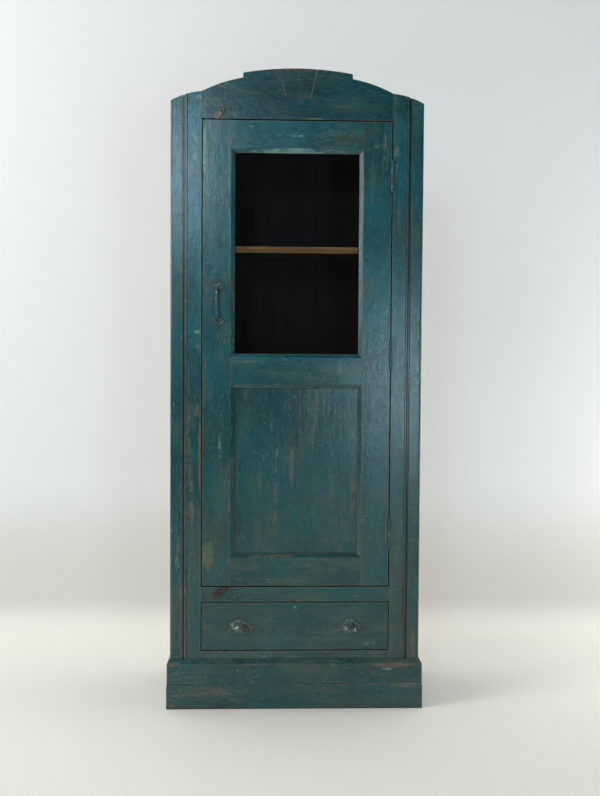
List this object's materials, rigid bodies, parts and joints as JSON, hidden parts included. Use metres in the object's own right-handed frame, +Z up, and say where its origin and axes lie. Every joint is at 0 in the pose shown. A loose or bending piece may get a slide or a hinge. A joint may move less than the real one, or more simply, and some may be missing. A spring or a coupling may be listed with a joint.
{
  "type": "china cabinet",
  "caption": "Tall narrow painted cabinet with an arched head, a door with glass over a wooden panel, a drawer and a plinth.",
  "frame": {"origin": "middle of the footprint, at floor level", "axes": "+X to the right seen from the front, +Y from the front to the back, +Z up"},
  "size_m": [0.751, 0.412, 1.859],
  "materials": {
    "painted_frame": "worn gloss paint",
    "painted_side": "worn gloss paint",
    "painted_plinth": "worn gloss paint",
    "painted_door": "worn gloss paint",
    "painted_panel": "worn gloss paint",
    "painted_drawer": "worn gloss paint",
    "inner_wood": "dark stained",
    "shelf_wood": "bare",
    "drawer_wood": "bare",
    "glass": "clear",
    "hinge_iron": "painted over",
    "handle_iron": "worn black",
    "pull_iron": "worn",
    "button_worn": "worn",
    "button_rusty": "rusty",
    "screw_steel": "dull",
    "lock_steel": "dull"
  },
  "bodies": {
    "carcass": {"front_post_left": "painted_frame", "front_post_right": "painted_frame", "face_stile_left": "painted_frame", "face_stile_right": "painted_frame", "head_rail": "painted_frame", "keystone": "painted_frame", "mid_rail": "painted_frame", "bottom_rail": "painted_frame", "side_board_left": "painted_side", "side_board_right": "painted_side", "plinth_lower_front": "painted_plinth", "plinth_lower_left": "painted_plinth", "plinth_lower_right": "painted_plinth", "plinth_upper_front": "painted_plinth", "plinth_upper_left": "painted_plinth", "plinth_upper_right": "painted_plinth", "rear_post_left": "inner_wood", "rear_post_right": "inner_wood", "roof_board": "inner_wood", "cabinet_floor": "inner_wood", "bottom_board": "inner_wood", "back_boards": "inner_wood", "door_stop_strips": "inner_wood", "shelf_cleats": "inner_wood", "shelf_upper": "shelf_wood", "shelf_middle": "shelf_wood", "shelf_lower": "shelf_wood", "drawer_runners": "drawer_wood", "drawer_guides": "drawer_wood", "drawer_kickers": "drawer_wood", "drawer_stops": "drawer_wood", "hinge_frame_leaves": "hinge_iron", "hinge_pins": "hinge_iron", "hinge_frame_screws": "screw_steel", "turn_button_fixings": "screw_steel"},
    "door": {"door_stile_left": "painted_door", "door_stile_right": "painted_door", "door_rail_top": "painted_door", "door_rail_mid": "painted_door", "door_rail_bottom": "painted_door", "glazing_beads": "painted_door", "door_panel_left": "painted_panel", "door_panel_right": "painted_panel", "window_glass": "glass", "hinge_door_leaves": "hinge_iron", "hinge_door_screws": "screw_steel", "door_handle": "handle_iron", "door_handle_screws": "screw_steel"},
    "drawer": {"drawer_front": "painted_drawer", "drawer_side_left": "drawer_wood", "drawer_side_right": "drawer_wood", "drawer_back": "drawer_wood", "drawer_bottom": "drawer_wood", "cup_pull_left": "pull_iron", "cup_pull_right": "pull_iron", "cup_pull_screws": "screw_steel", "lock_case": "lock_steel"},
    "turn_button_top": {"turn_button_top": "button_worn"},
    "turn_button_bottom": {"turn_button_bottom": "button_rusty"},
    "lock_bolt": {"lock_bolt": "lock_steel"}
  },
  "joints": [
    {"name": "door_hinge", "type": "hinge", "parent": "carcass", "child": "door", "pos_m": [0.2745, -0.1782, 1.035], "axis": [0, 0, 1], "range_deg": [0, 180]},
    {"name": "drawer_slide", "type": "slide", "parent": "carcass", "child": "drawer", "axis": [0, -1, 0], "range_m": [0, 0.28]},
    {"name": "turn_button_top_turn", "type": "hinge", "parent": "carcass", "child": "turn_button_top", "pos_m": [-0.22, -0.178, 1.733], "axis": [0, 1, 0], "range_deg": [-38, 142]},
    {"name": "turn_button_bottom_turn", "type": "hinge", "parent": "carcass", "child": "turn_button_bottom", "pos_m": [-0.228, -0.178, 0.338], "axis": [0, 1, 0], "range_deg": [-60, 120]},
    {"name": "lock_bolt_slide", "type": "slide", "parent": "drawer", "child": "lock_bolt", "axis": [0, 0, 1], "range_m": [0, 0.007]}
  ]
}
